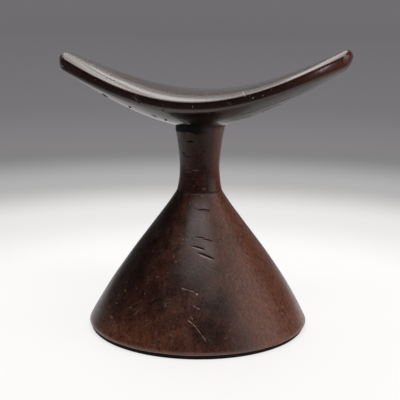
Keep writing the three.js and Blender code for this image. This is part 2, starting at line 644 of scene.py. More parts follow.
def grain_group() -> bpy.types.NodeTree:
    """Make the long fibres of the wood, with darker pores along them.

    Returns:
        The node group.
    """
    wiring, given, result = new_group(
        "wood_grain",
        {"Vector": (VECTOR, None), "Fineness": (FLOAT, 900.0)},
        ["Fibre", "Pore"],
    )
    fibre = wiring.noise(given["Vector"], given["Fineness"], 3, 0.6)
    doubled = wiring.math("MULTIPLY", given["Fineness"], 2.1)
    pore = wiring.noise(given["Vector"], doubled, 2, 0.5)
    wiring.tree.links.new(wiring.band(fibre, 0.3, 0.7), result.inputs["Fibre"])
    wiring.tree.links.new(wiring.band(pore, 0.6, 0.74), result.inputs["Pore"])
    return wiring.tree


def fleck_group() -> bpy.types.NodeTree:
    """Make small pale flecks and short hair scratches, thinned out by a broad mask.

    Returns:
        The node group.
    """
    wiring, given, result = new_group(
        "flecks",
        {"Vector": (VECTOR, None), "Size": (FLOAT, 500.0), "Amount": (FLOAT, 0.3)},
        ["Fleck", "Scratch"],
    )
    cells = wiring.node("ShaderNodeTexVoronoi", {"Vector": given["Vector"], "Scale": given["Size"]})
    chance = wiring.node("ShaderNodeSeparateColor", {0: cells.outputs["Color"]}).outputs[0]
    dot = wiring.band(cells.outputs["Distance"], 0.34, 0.16)
    chosen = wiring.math("LESS_THAN", chance, given["Amount"])
    patches = wiring.band(wiring.noise(given["Vector"], 38.0, 2), 0.46, 0.62)
    fleck = wiring.math("MULTIPLY", wiring.math("MULTIPLY", dot, chosen), patches)
    wiring.tree.links.new(fleck, result.inputs["Fleck"])
    turned = wiring.node(
        "ShaderNodeMapping",
        {"Vector": given["Vector"], "Rotation": (0.5, 0.9, 0.35), "Scale": (1, 9, 1)},
    )
    lines = wiring.node(
        "ShaderNodeTexVoronoi",
        {"Vector": turned.outputs[0], "Scale": wiring.math("MULTIPLY", given["Size"], 0.16)},
        feature="DISTANCE_TO_EDGE",
    )
    hair = wiring.band(lines.outputs["Distance"], 0.018, 0.004)
    sparse = wiring.band(wiring.noise(given["Vector"], 120.0, 1), 0.58, 0.66)
    wiring.tree.links.new(wiring.math("MULTIPLY", hair, sparse), result.inputs["Scratch"])
    return wiring.tree


BUMP_DISTANCE = 0.12 * MM
COAT_ROUGHNESS = 0.1
BARE_WOOD: Colour = (0.42, 0.33, 0.29)
PORE_BLACK: Colour = (0.004, 0.002, 0.002)
# colours for sooty patches and grime, and also for painted shade
SOOT_AND_SHADE_BROWN: Colour = (0.004, 0.0012, 0.0008)
GRIME_AND_SHADE_BLACK: Colour = (0.003, 0.002, 0.002)


def opaque(colour: Colour) -> tuple[float, float, float, float]:
    """Give a colour full cover."""
    return (*colour, 1.0)


@dataclass(frozen=True)
class PatinatedWood:
    """The dark, waxed and handled surface of one piece.

    The mottle runs from deep to mid, with specks and painted light in warm, and fibre_stretch is
    short along the grain. Grime, sooty patches, painted shade and bare wood lie over it where the piece
    is painted with them.
    """

    name: str
    slot: str
    deep: Colour
    mid: Colour
    warm: Colour
    fibre_stretch: Place
    roughness: float
    roughness_spread: float
    coat: float
    broad: float = 30.0
    contrast: float = 1.0
    specular: float = 0.5
    flecks: float = 0.12
    fleck_strength: float = 0.5
    bump: float = 0.3
    streak: float = 0.28
    speckle: float = 0.35

    def make(self, groups: dict[str, bpy.types.NodeTree]) -> bpy.types.Material:
        """Build the material.

        Args:
            groups: The shared node groups by name.

        Returns:
            The new material.
        """
        material = bpy.data.materials.new(self.name)
        material.use_nodes = True
        wiring = Wiring(material.node_tree)
        wiring.tree.nodes.clear()
        place = wiring.node("ShaderNodeTexCoord").outputs["Object"]
        along = wiring.node("ShaderNodeMapping", {"Vector": place, "Scale": self.fibre_stretch}).outputs[0]
        mottle = wiring.node("ShaderNodeGroup", node_tree=groups["mottle"])
        wiring.tree.links.new(place, mottle.inputs["Vector"])
        mottle.inputs["Broad"].default_value = self.broad
        mottle.inputs["Contrast"].default_value = self.contrast
        grain = wiring.node("ShaderNodeGroup", node_tree=groups["grain"])
        wiring.tree.links.new(along, grain.inputs["Vector"])
        fleck = wiring.node("ShaderNodeGroup", node_tree=groups["fleck"])
        wiring.tree.links.new(place, fleck.inputs["Vector"])
        fleck.inputs["Amount"].default_value = self.flecks
        layers = {}
        for layer in Layer:
            painted = wiring.node("ShaderNodeAttribute", attribute_name=layer.value)
            layers[layer] = painted.outputs["Fac"]
        body = wiring.blend(mottle.outputs["Mottle"], opaque(self.deep), opaque(self.mid))
        # warm specks, and the painted light layer
        warmth = wiring.math("MULTIPLY", mottle.outputs["Speckle"], self.speckle)
        warmth = wiring.math("ADD", warmth, layers[Layer.PAINTED_LIGHT], clamp=True)
        body = wiring.blend(warmth, body, opaque(self.warm))
        shade = wiring.math("MULTIPLY", grain.outputs["Fibre"], self.streak)
        body = wiring.blend(shade, body, opaque(self.deep))
        body = wiring.blend(wiring.math("MULTIPLY", grain.outputs["Pore"], 0.45), body, opaque(PORE_BLACK))
        pale = wiring.math("MAXIMUM", fleck.outputs["Fleck"], fleck.outputs["Scratch"])
        body = wiring.blend(wiring.math("MULTIPLY", pale, self.fleck_strength), body, opaque(BARE_WOOD))
        # sooty patches and painted shade
        body = wiring.blend(layers[Layer.SOOT_AND_SHADE], body, opaque(SOOT_AND_SHADE_BROWN))
        body = wiring.blend(layers[Layer.BARE], body, opaque(BARE_WOOD))
        # grime in cuts and joints, and painted shade
        body = wiring.blend(layers[Layer.GRIME_AND_SHADE], body, opaque(GRIME_AND_SHADE_BLACK))
        rough = wiring.math("MULTIPLY", mottle.outputs["Speckle"], self.roughness_spread)
        rough = wiring.math("ADD", rough, self.roughness)
        dull = wiring.math("MULTIPLY", wiring.math("MAXIMUM", layers[Layer.GRIME_AND_SHADE], pale), 0.6)
        rough = wiring.math("ADD", rough, dull, clamp=True)
        height = wiring.math("MULTIPLY", grain.outputs["Fibre"], 0.35)
        height = wiring.math("SUBTRACT", height, wiring.math("MULTIPLY", grain.outputs["Pore"], 0.5))
        height = wiring.math("SUBTRACT", height, wiring.math("MULTIPLY", pale, 0.6))
        height = wiring.math("ADD", height, wiring.math("MULTIPLY", mottle.outputs["Mottle"], 0.5))
        bump = wiring.node(
            "ShaderNodeBump", {"Strength": self.bump, "Distance": BUMP_DISTANCE, "Height": height}
        )
        shader = wiring.node(
            "ShaderNodeBsdfPrincipled",
            {
                "Base Color": body,
                "Roughness": rough,
                "Normal": bump.outputs[0],
                "Coat Weight": self.coat,
                "Coat Roughness": COAT_ROUGHNESS,
                "Specular IOR Level": self.specular,
                "IOR": 1.5,
            },
        )
        wiring.node("ShaderNodeOutputMaterial", {"Surface": shader.outputs[0]})
        return material


FINISHES = {
    "rest": PatinatedWood(
        "handled_black_wood",
        "crescent_wood",
        deep=(0.009, 0.0028, 0.002),
        mid=(0.025, 0.0068, 0.0042),
        warm=(0.1, 0.029, 0.015),
        fibre_stretch=(0.06, 1, 1),
        roughness=0.14,
        roughness_spread=0.08,
        coat=0.25,
        broad=45,
        fleck_strength=0.1,
        bump=0.07,
    ),
    "neck": PatinatedWood(
        "red_brown_neck_wood",
        "neck_wood",
        deep=(0.012, 0.0042, 0.003),
        mid=(0.026, 0.0085, 0.006),
        warm=(0.105, 0.027, 0.0125),
        fibre_stretch=(1, 1, 0.06),
        roughness=0.24,
        roughness_spread=0.1,
        coat=0.0,
        specular=0.27,
        broad=50,
        fleck_strength=0.1,
    ),
    "cone_base": PatinatedWood(
        "waxed_brown_wood",
        "cone_wood",
        deep=(0.014, 0.0042, 0.003),
        mid=(0.06, 0.0195, 0.0115),
        warm=(0.175, 0.06, 0.032),
        fibre_stretch=(1, 1, 0.08),
        roughness=0.26,
        roughness_spread=0.16,
        coat=0.0,
        specular=0.36,
        broad=24,
        contrast=0.8,
        fleck_strength=0.3,
        streak=0.7,
        speckle=0.45,
        bump=0.42,
    ),
    # painted shade: the foot ring's wood is made very dark and matt, so that it reads as the shadow under
    # the cone's edge
    "foot_rim": PatinatedWood(
        "shade_dark_foot_wood",
        "foot_wood",
        deep=(0.006, 0.0035, 0.003),
        mid=(0.014, 0.008, 0.006),
        warm=(0.035, 0.018, 0.012),
        fibre_stretch=(1, 1, 0.2),
        roughness=0.6,
        roughness_spread=0.15,
        coat=0.0,
        specular=0.12,
        broad=60,
        fleck_strength=0.15,
    ),
}


def dress(
    piece: bpy.types.Object, finish: PatinatedWood, groups: dict[str, bpy.types.NodeTree], node: str
) -> None:
    """Give a piece its finish and tie it to the frame.

    Args:
        piece: The finished mesh.
        finish: What its surface is.
        groups: The shared node groups by name.
        node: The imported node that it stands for.
    """
    pick_only(piece)
    bpy.ops.object.shade_smooth_by_angle(angle=SMOOTH_ANGLE)
    piece.data.materials.clear()
    piece.data.materials.append(finish.make(groups))
    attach(piece, BODY)
    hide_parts(node)
    log.info("%s: %d faces", piece.name, len(piece.data.polygons))


# ---- Crescent ----------------------------------------------------------------------------------------


@dataclass(frozen=True)
class Station:
    """Where one cross-section of the crescent sits and how large it is.

    Top_scale is the share of its full height that the top keeps.
    """

    x: float
    crown: float
    keel: float
    half_depth: float
    top_scale: float
    belly: float


@dataclass
class Crescent:
    """The cradle for the head: a crowned top, an upright band along each edge and a boat-shaped belly.

    A section is placed by s, which is 0 at the middle and -1 and 1 at the tips. The top climbs with
    top_rise and is flattened towards the tips, and the whole leans by tilt to its higher tip.
    """

    half_length: float = REST.half.x
    half_depth: float = REST.half.y
    middle_x: float = REST.middle.x
    keel_height: float = KEEL_HEIGHT
    tip_half_depth: float = 7.3 * MM
    top_rise: float = 24.7 * MM
    top_flattening: float = 5.8 * MM
    crown: float = 2.9 * MM
    crown_power: float = 2.6
    edge_band: float = 5.2 * MM
    tip_edge_band: float = 6.6 * MM
    edge_round: float = 1.3 * MM
    belly: float = 12.9 * MM
    tip_belly: float = 1.9 * MM
    belly_ease: float = 0.12
    belly_fullness: float = 2.45
    tilt: float = 2.9 * MM
    tip_start: float = 0.94
    tip_plan_round: float = 2.0
    tip_side_round: float = 1.8
    stations: int = 72
    top_points: int = 9
    round_points: int = 5
    belly_points: int = 11
    ripple_depth: float = 0.22 * MM
    ripple_size: float = 15 * MM
    streaks: int = 14

    def tip_share(self, s: float, power: float) -> float:
        """Find how much of its full section a station keeps where the tips round off.

        Args:
            s: The station.
            power: How full the rounding is: 2 is a circle.

        Returns:
            A share from 0 at the very tip to 1.
        """
        spent = min(max((abs(s) - self.tip_start) / (1 - self.tip_start), 0), 1)
        return (1 - spent**power) ** (1 / power)

    def station(self, s: float) -> Station:
        """Work out one cross-section.

        Args:
            s: Where it is, 0 at the middle and -1 and 1 at the tips.

        Returns:
            The cross-section's place and sizes.
        """
        climb = (self.top_rise + self.top_flattening) * s**2 - self.top_flattening * s**4
        crown = self.keel_height + self.belly + self.edge_band + self.crown + climb
        band = self.edge_band + (self.tip_edge_band - self.edge_band) * s**2
        bow = math.hypot(s, self.belly_ease) - self.belly_ease
        bow_share = bow / (math.hypot(1, self.belly_ease) - self.belly_ease)
        belly = self.belly + (self.tip_belly - self.belly) * bow_share
        keel = crown - self.crown - band - belly
        middle = (crown + keel) / 2
        plan, side = self.tip_share(s, self.tip_plan_round), self.tip_share(s, self.tip_side_round)
        lean = self.tilt * s
        return Station(
            x=self.middle_x + s * self.half_length,
            crown=middle + (crown - middle) * side + lean,
            keel=middle + (keel - middle) * side + lean,
            half_depth=(self.half_depth + (self.tip_half_depth - self.half_depth) * s**2) * plan,
            top_scale=side,
            belly=belly * side,
        )

    def half_section(self, at: Station) -> list[Vector]:
        """Draw one side of a section, from the crown over the edge and down the band to the keel.

        Args:
            at: The section's place and sizes.

        Returns:
            Its points in order.
        """
        shoulder_y = at.half_depth * (1 - self.edge_round / self.half_depth)
        drop = self.crown * (shoulder_y / at.half_depth) ** self.crown_power
        edge_drop = self.crown + self.edge_round
        points = []
        for i in range(self.top_points):
            y = shoulder_y * i / self.top_points
            fall = self.crown * (y / at.half_depth) ** self.crown_power
            points.append((y, at.crown - fall * at.top_scale))
        for i in range(self.round_points + 1):
            angle = math.pi / 2 * i / self.round_points
            y = shoulder_y + (at.half_depth - shoulder_y) * math.sin(angle)
            fall = drop + (edge_drop - drop) * (1 - math.cos(angle))
            points.append((y, at.crown - fall * at.top_scale))
        for i in range(self.belly_points + 1):
            share = 1 - i / self.belly_points
            points.append((at.half_depth * share, at.keel + at.belly * share**self.belly_fullness))
        return [Vector((at.x, y, z)) for y, z in points]

    def section(self, at: Station) -> list[Vector]:
        """Draw a whole section, once round from the crown.

        Args:
            at: The section's place and sizes.

        Returns:
            Its points in order.
        """
        near = self.half_section(at)
        far = [Vector((p.x, -p.y, p.z)) for p in near[-2:0:-1]]
        return near + far

    def reshape(self, piece: bpy.types.Object, here: Station, there: Station) -> None:
        """Carry the selected end of the crescent on to the next station.

        The top follows the crown's line and the belly the keel's, each scaled about its own line.

        Args:
            piece: The crescent so far, in edit mode.
            here: The section that is selected.
            there: The section that it becomes.
        """
        mesh = bmesh.from_edit_mesh(piece.data)
        end = [vertex for vertex in mesh.verts if vertex.select]
        split = here.keel + here.belly * 1.0001 + 1e-7
        top = [vertex for vertex in end if vertex.co.z > split]
        belly = [vertex for vertex in end if vertex.co.z <= split]
        width = there.half_depth / here.half_depth
        for part, anchor, target, height in (
            (top, here.crown, there.crown, there.top_scale / here.top_scale),
            (belly, here.keel, there.keel, there.belly / here.belly),
        ):
            bpy.ops.mesh.select_all(action="DESELECT")
            for vertex in part:
                vertex.select = True
            mesh.select_flush_mode()
            bpy.ops.transform.resize(value=(1, width, height), center_override=(here.x, 0, anchor))
            bpy.ops.transform.translate(value=(there.x - here.x, 0, target - anchor))
        bpy.ops.mesh.select_all(action="DESELECT")
        for vertex in end:
            vertex.select = True
        mesh.select_flush(True)

    def build(self) -> bpy.types.Object:
        """Model the crescent: one section extruded from tip to tip, rounded off and smoothed.

        Returns:
            The crescent, in object mode.
        """
        shares = [-math.cos(math.pi * i / self.stations) for i in range(1, self.stations)]
        stations = [self.station(s) for s in shares]
        piece = trace_outline("crescent", self.section(stations[0]))
        bpy.ops.mesh.select_all(action="SELECT")
        bpy.ops.mesh.edge_face_add()
        for here, there in pairwise(stations):
            bpy.ops.mesh.extrude_region_move(TRANSFORM_OT_translate={"value": (0, 0, 0)})
            self.reshape(piece, here, there)
        self.close_tip(stations[-1], self.station(1))
        self.select_end(piece, stations[0])
        self.close_tip(stations[0], self.station(-1))
        bpy.ops.mesh.select_all(action="SELECT")
        bpy.ops.mesh.remove_doubles(threshold=TIP_MERGE_DISTANCE)
        bpy.ops.mesh.normals_make_consistent(inside=False)
        bpy.ops.object.mode_set(mode="OBJECT")
        apply_modifier(piece, "SUBSURF", levels=2, render_levels=2)
        ripple(piece, self.ripple_depth, self.ripple_size, Vector((2.2, 1, 1)))
        return piece

    def belly_point(self, s: float, share: float) -> Place:
        """Find a place on the near side of the belly.

        Args:
            s: Its station.
            share: 0 at the keel and 1 at the band.

        Returns:
            The place, in millimetres.
        """
        at = self.station(s)
        height = at.keel + at.belly * share**self.belly_fullness
        return (at.x / MM, -at.half_depth * share / MM, height / MM)

    def blade_streaks(self) -> list[Mark]:
        """Lay out the long shallow strokes of the blade under the right wing.

        Returns:
            One groove for each stroke.
        """
        streaks = []
        for i in range(self.streaks):
            s = 0.24 + 0.038 * i + 0.012 * math.sin(i * 2.4)
            share = 0.56 + 0.2 * math.sin(i * 1.9)
            start, end = self.belly_point(s, share), self.belly_point(s + 0.13, share - 0.05)
            streaks.append(Mark(start, end, width=1.5, depth=0.14, lip=0.5))
        return streaks

    def wear(self, piece: bpy.types.Object) -> None:
        """Carve the marks of use, paint light on the right wing, the tips and the band's lower edge, and
        paint shade on the keel, the edge bands, the left wing's top and the right wing's belly.

        Args:
            piece: The crescent.
        """
        carve(piece, CRESCENT_MARKS + self.blade_streaks())
        places, normals = vertex_places(piece), vertex_normals(piece)
        share = (places[:, 0] - self.middle_x) / self.half_length
        up = normals[:, 2]
        # painted light: the right wing's sides and right tip lit by the lamps on the right, the left tip's
        # upper faces lit from above, and a painted highlight along the lower edge of the band in the
        # middle
        right = smooth_step(0.35, 0.9, share) * (1 - np.abs(up)) * 0.75
        lit_right_tip = smooth_step(0.93, 1.0, share) * 0.7
        left = smooth_step(0.94, 0.985, -share) * smooth_step(-0.3, 0.4, up)
        ridge_highlight = np.exp(-(((up + 0.45) / 0.2) ** 2)) * smooth_step(0.5, 0.2, np.abs(share)) * 0.4
        paint(piece, Layer.PAINTED_LIGHT, np.maximum.reduce([right, lit_right_tip, left, ridge_highlight]))
        # painted shade on the belly about the neck and on the upright edge bands
        across = np.abs(places[:, 0] - NECK.middle.x)
        keel = smooth_step(20 * MM, 12 * MM, across) * smooth_step(-0.3, -0.75, up)
        band = smooth_step(0.35, 0.1, np.abs(up)) * smooth_step(0.9, 0.6, np.abs(share)) * 0.6
        paint(piece, Layer.SOOT_AND_SHADE, np.maximum(keel, band))
        # painted shade: the far part of the left wing's top and the right wing's belly darkened and dulled
        far_side = smooth_step(-12 * MM, -3 * MM, places[:, 1])
        left_top_shade = smooth_step(0.45, 0.85, -share) * smooth_step(0.6, 0.9, up) * far_side * 0.3
        right_wing_shade = smooth_step(0.1, 0.28, share) * smooth_step(-0.25, -0.6, up) * 0.65
        paint(piece, Layer.GRIME_AND_SHADE, np.maximum(left_top_shade, right_wing_shade))

    @staticmethod
    def select_end(piece: bpy.types.Object, at: Station) -> None:
        """Select the flat face that closes one end.

        Args:
            piece: The crescent, in edit mode.
            at: The section at that end.
        """
        mesh = bmesh.from_edit_mesh(piece.data)
        bpy.ops.mesh.select_all(action="DESELECT")
        for face in mesh.faces:
            face.select = all(abs(v.co.x - at.x) < 1e-6 for v in face.verts)
        mesh.select_flush(True)

    @staticmethod
    def close_tip(end: Station, tip: Station) -> None:
        """Draw the selected end face out to a point at the very tip.

        Args:
            end: The section whose face is selected.
            tip: The tip itself.
        """
        reach = (tip.x - end.x, 0, tip.crown - (end.crown + end.keel) / 2)
        bpy.ops.mesh.extrude_region_move(TRANSFORM_OT_translate={"value": reach})
        bpy.ops.mesh.merge(type="CENTER")


# ---- Neck --------------------------------------------------------------------------------------------


@dataclass
class Neck:
    """The waisted column between the cone and the crescent, flared where it meets the belly.

    The collar is a black line painted under the belly, cut in a little, with a wavy lower edge.
    """

    axis_x: float = NECK.middle.x
    seat: float = CONE.high.z
    length: float = 37.8 * MM
    waist_length: float = 14.1 * MM
    bottom_radius: float = 13 * MM
    waist_radius: float = 11.55 * MM
    top_radius: float = NECK.half.x
    lower_sweep: float = 2.1
    upper_sweep: float = 1.6
    seam_depth: float = 0.22 * MM
    overlap: float = 7 * MM
    collar_width: float = 2.3 * MM
    collar_depth: float = 0.4 * MM
    ripple_depth: float = 0.3 * MM
    ripple_size: float = 7 * MM
    sweep_points: int = 22
    steps: int = 144

    def profile(self) -> Profile:
        """Draw the outline from the axis at the seat, up the two sweeps, to the axis inside the crescent.

        Returns:
            Pairs of radius and height. It passes into the crescent by the overlap.
        """
        waist = self.seat + self.waist_length
        top = self.seat + self.length
        floor = self.seat - self.seam_depth
        points = [(0, floor), (self.bottom_radius - self.seam_depth, floor)]
        for i in range(self.sweep_points + 1):
            t = i / self.sweep_points
            swell = (self.bottom_radius - self.waist_radius) * (1 - t) ** self.lower_sweep
            height = self.seat + self.seam_depth + (waist - self.seat - self.seam_depth) * t
            points.append((self.waist_radius + swell, height))
        for i in range(1, self.sweep_points * 2 + 1):
            t = i / (self.sweep_points * 2)
            flare = (self.top_radius - self.waist_radius) * t**self.upper_sweep
            points.append((self.waist_radius + flare, waist + (top - waist) * t))
        inside = top + self.overlap
        return [*points, (self.top_radius, inside), (0, inside)]

    def build(self, crescent: bpy.types.Object) -> bpy.types.Object:
        """Turn the neck and cut its top to the crescent's belly.

        Args:
            crescent: The crescent before it is marked.

        Returns:
            The neck, in object mode.
        """
        piece = turn("neck_column", self.profile(), self.axis_x, self.steps)
        apply_modifier(piece, "BOOLEAN", operation="DIFFERENCE", object=crescent, solver="EXACT")
        ripple(piece, self.ripple_depth, self.ripple_size, Vector((1, 1, 2.4)))
        return piece

    def wear(self, piece: bpy.types.Object) -> None:
        """Carve the tool marks, blacken the collar under the crescent and paint light on the right side.

        Args:
            piece: The neck.
        """
        carve(piece, NECK_MARKS)
        places = vertex_places(piece)
        x, y, z = (places - (self.axis_x, 0, self.seat)).T
        bearing = np.degrees(np.arctan2(x, -y))
        wave = 0.45 * np.sin(np.radians(bearing * 5)) + 0.3 * np.sin(np.radians(bearing * 11 + 40))
        lower_edge = self.length - self.collar_width - wave * MM
        # the collar: a black band painted just under the belly, on the left and front only
        left_front = smooth_step(78, 50, np.abs(bearing + 42))
        collar = smooth_step(-0.4 * MM, 0.3 * MM, z - lower_edge) * left_front
        seam = smooth_step(0.7 * MM, 0.1 * MM, z) * 0.6
        paint(piece, Layer.GRIME_AND_SHADE, np.maximum(collar, seam))
        radial = (places - (self.axis_x, 0, 0)) * (1, 1, 0)
        radial /= np.maximum(np.linalg.norm(radial, axis=1), MM)[:, None]
        move_vertices(piece, places - radial * (collar * self.collar_depth)[:, None])
        # painted light: the right side warmer and lighter where the lamp on the right falls
        lit_neck_side = smooth_step(38, 62, bearing) * smooth_step(120, 85, bearing)
        paint(piece, Layer.PAINTED_LIGHT, lit_neck_side * 0.8)


# ---- Cone --------------------------------------------------------------------------------------------


@dataclass
class ConeBase:
    """The bell-sided cone, with a rounded lower edge and a shallow dish cut under it.

    Its side is one curve, which leans in by foot_lean at the foot and top_lean at the top. Below
    set_height the foot is set a little sideways from the neck's axis.
    """

    axis_x: float = NECK.middle.x
    foot_set: float = CONE.middle.x - NECK.middle.x
    set_height: float = 46 * MM
    height: float = CONE.high.z
    foot_radius: float = CONE.half.x
    top_radius: float = 13 * MM
    edge_height: float = 2.4 * MM
    edge_round: float = 0.8 * MM
    foot_lean: float = math.radians(26.2)
    foot_pull: float = 40.7 * MM
    top_lean: float = math.radians(27.4)
    top_pull: float = 15.9 * MM
    seam_round: float = 0.3 * MM
    dish_radius: float = FOOT.half.x - 11.5 * MM
    dish_rim: float = CONE.low.z
    dish_depth: float = 2.4 * MM
    ripple_depth: float = 0.35 * MM
    ripple_size: float = 16 * MM
    dish_points: int = 14
    edge_points: int = 6
    flank_points: int = 72
    steps: int = 240

    def flank(self) -> Profile:
        """Draw the side's curve, from the lower edge to the neck's seat.

        Returns:
            Pairs of radius and height.
        """
        foot = Vector((self.foot_radius, 0, self.edge_height + self.edge_round))
        top = Vector((self.top_radius, 0, self.height - self.seam_round))
        low = foot + self.foot_pull * Vector((-math.sin(self.foot_lean), 0, math.cos(self.foot_lean)))
        high = top + self.top_pull * Vector((math.sin(self.top_lean), 0, -math.cos(self.top_lean)))
        return [(p.x, p.z) for p in interpolate_bezier(foot, low, high, top, self.flank_points)]

    def profile(self) -> Profile:
        """Draw the whole outline, from the middle of the dish round the lower edge to the axis at the top.

        Returns:
            Pairs of radius and height.
        """
        dish = []
        for i in range(self.dish_points + 1):
            t = i / self.dish_points
            dish.append((self.dish_radius * t, self.dish_rim + self.dish_depth * (1 - t**2)))
        under = [(self.dish_radius + 0.01 * MM, self.edge_height)]
        edge = []
        for i in range(self.edge_points):
            angle = math.pi / 2 * i / self.edge_points
            radius = self.foot_radius - self.edge_round * (1 - math.sin(angle))
            edge.append((radius, self.edge_height + self.edge_round * (1 - math.cos(angle))))
        top = [(self.top_radius - self.seam_round, self.height), (0, self.height)]
        return [*dish, *under, *edge, *self.flank(), *top]

    def build(self) -> bpy.types.Object:
        """Turn the cone, set its foot a little sideways and leave it as uneven as a blade does.

        Returns:
            The cone, in object mode.
        """
        piece = turn("cone", self.profile(), self.axis_x, self.steps)
        places = vertex_places(piece)
        places[:, 0] += self.foot_set * np.clip(1 - places[:, 2] / self.set_height, 0, 1) ** 2
        move_vertices(piece, places)
        ripple(piece, self.ripple_depth, self.ripple_size, Vector((1, 1, 1.8)))
        return piece

    def wear(self, piece: bpy.types.Object) -> None:
        """Carve the cuts and scratches, paint shade on the left flank and under the lower edge, paint
        light on the right flank and the lower left rim, and darken sooty patches.

        Args:
            piece: The cone.
        """
        carve(piece, CONE_MARKS)
        places, normals = vertex_places(piece), vertex_normals(piece)
        height = places[:, 2] / MM
        bearing = np.degrees(np.arctan2(places[:, 0] - self.axis_x, -places[:, 1]))
        # painted light on the lower left rim; on the right flank a lighter patina and painted light from
        # the lamps on the right
        lit_left_rim = smooth_step(22, 4, height) * smooth_step(75, 20, np.abs(bearing + 35))
        warm_lit_right_flank = smooth_step(18, 62, bearing) * smooth_step(170, 110, bearing)
        paint(piece, Layer.PAINTED_LIGHT, np.maximum(lit_left_rim * 0.5, warm_lit_right_flank * 0.7))
        seam = smooth_step(self.height - 0.6 * MM, self.height - 0.1 * MM, places[:, 2])
        # a dark seam at the top, and painted shade on the faces that look down under the lower edge
        under = smooth_step(-0.6, -0.95, normals[:, 2])
        paint(piece, Layer.GRIME_AND_SHADE, np.maximum(seam * 0.6, under * 0.55))
        # painted shade: the left flank darkened, away from the lamps on the right
        shaded_left_flank = smooth_step(52, 26, np.abs(bearing + 66)) * smooth_step(10, 34, height)
        paint(piece, Layer.SOOT_AND_SHADE, shaded_left_flank * 0.8)
        # a pale line along the lower edge, partly worn wood and partly a painted highlight, stronger on
        # the left and front
        arris_wear_and_highlight = smooth_step(2.5, 2.9, height) * smooth_step(4.4, 3.4, height) * (normals[:, 2] > -0.6)
        paint(piece, Layer.BARE, arris_wear_and_highlight * (0.05 + 0.17 * smooth_step(70, 10, bearing)))
        for place, radius, strength in CONE_SMUDGES:
            smudge(piece, place, radius, strength)


# ---- Foot --------------------------------------------------------------------------------------------


@dataclass
class FootRim:
    """The low ring that stands on the ground, set in from the cone's edge."""

    axis_x: float = FOOT.middle.x
    outer_radius: float = FOOT.half.x
    width: float = 11.2 * MM
    shoulder: float = 2.1 * MM
    tongue_width: float = 4 * MM
    top: float = FOOT.high.z
    edge_round: float = 0.35 * MM
    worn_width: float = 3 * MM
    ripple_depth: float = 0.12 * MM
    ripple_size: float = 6 * MM
    steps: int = 240

    def profile(self) -> Profile:
        """Draw the ring's outline, which closes on itself.

        Returns:
            Pairs of radius and height.
        """
        inner = self.outer_radius - self.width
        tongue = inner + self.tongue_width
        worn = self.edge_round
        return [
            (inner + worn, 0),
            (self.outer_radius - self.worn_width, 0),
            (self.outer_radius - worn, 0),
            (self.outer_radius, worn),
            (self.outer_radius, self.shoulder),
            (tongue, self.shoulder),
            (tongue, self.top),
            (inner, self.top),
            (inner, worn),
            (inner + worn, 0),
        ]

    def build(self) -> bpy.types.Object:
        """Turn the ring and wear it uneven, with its underside kept flat on the ground.

        Returns:
            The ring, in object mode.
        """
        piece = turn("foot_ring", self.profile(), self.axis_x, self.steps)
        ripple(piece, self.ripple_depth, self.ripple_size, Vector((1, 1, 1)))
        places = vertex_places(piece)
        places[:, 2] = np.maximum(places[:, 2], 0)
        move_vertices(piece, places)
        return piece

    def wear(self, piece: bpy.types.Object) -> None:
        """Paint shade on the ring's upright sides.

        Args:
            piece: The ring.
        """
        carve(piece, [])
        normals = vertex_normals(piece)
        # painted shade on the faces that look sideways
        paint(piece, Layer.GRIME_AND_SHADE, smooth_step(0.6, 0.1, np.abs(normals[:, 2])) * 0.9)


# ---- The marks ---------------------------------------------------------------------------------------
# Each is placed where a hand would make it, in millimetres, and moves to the nearest surface.

